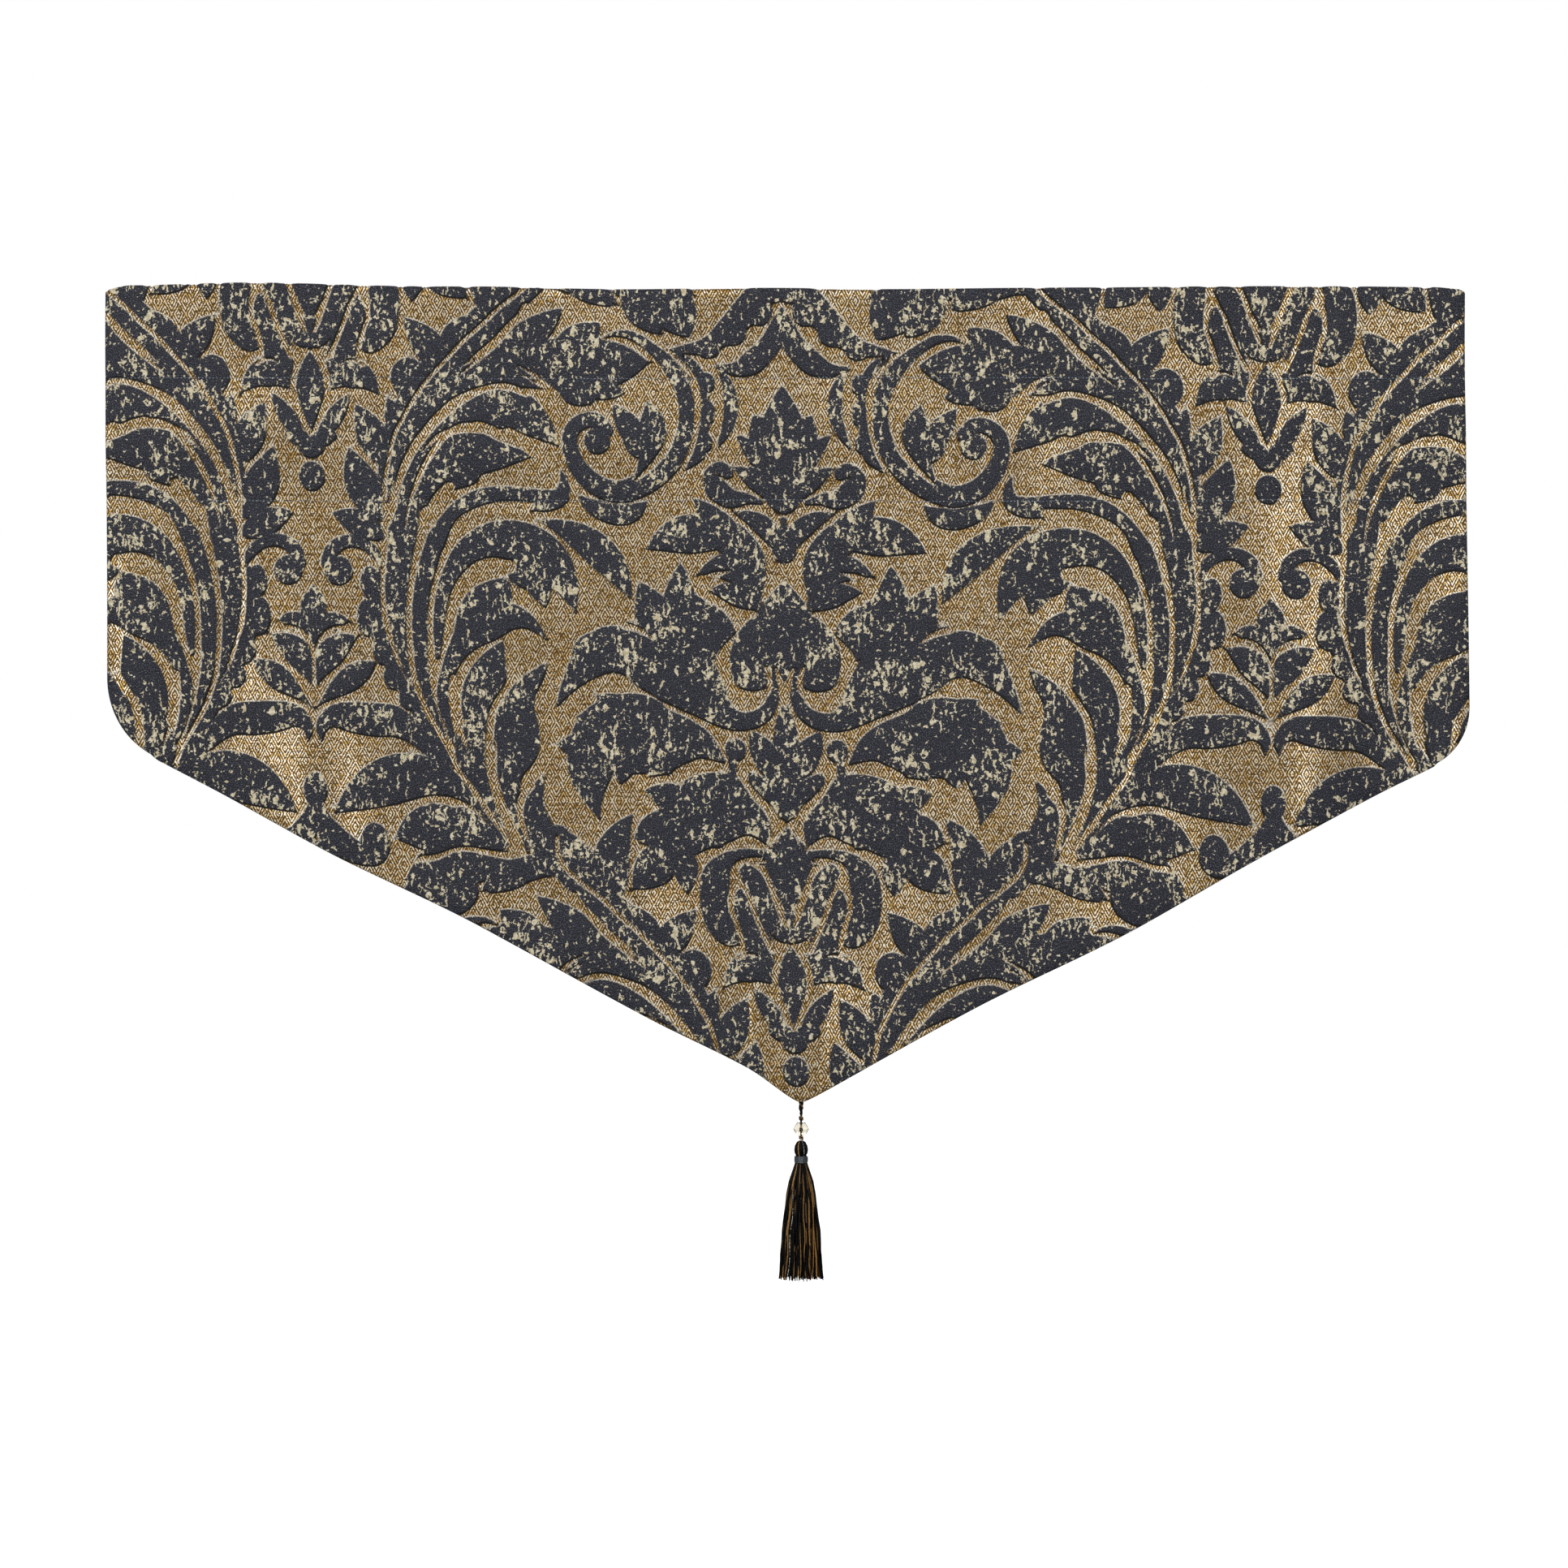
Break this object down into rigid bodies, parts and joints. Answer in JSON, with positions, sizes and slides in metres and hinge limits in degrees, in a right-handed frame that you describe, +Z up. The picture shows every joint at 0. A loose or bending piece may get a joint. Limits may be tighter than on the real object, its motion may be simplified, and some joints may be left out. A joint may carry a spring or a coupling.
{
  "type": "ascot valance",
  "caption": "Pointed window valance of figured damask with a flat heading, a rod pocket along its top, and a bead and tassel hanging from its point.",
  "frame": {"origin": "middle of the panel's top edge", "axes": "+Z up, +X to the right as seen from the front, the front faces -Y"},
  "size_m": [0.8405, 0.0285, 0.6139],
  "materials": {
    "damask_cloth": "figured damask, dark raised leaf figure on an old-gold patterned ground with a silky sheen",
    "twisted_cord": "two-ply twisted cord in black and old gold",
    "clear_glass": "clear faceted glass",
    "tassel_yarn": "silky yarn in black, charcoal and old gold",
    "satin_binding": "shiny blue-grey yarn, closely wrapped"
  },
  "bodies": {
    "root": {"valance_panel": "damask_cloth", "tassel_cord": "twisted_cord", "glass_bead": "clear_glass", "tassel": "tassel_yarn", "neck_binding": "satin_binding"}
  },
  "joints": []
}
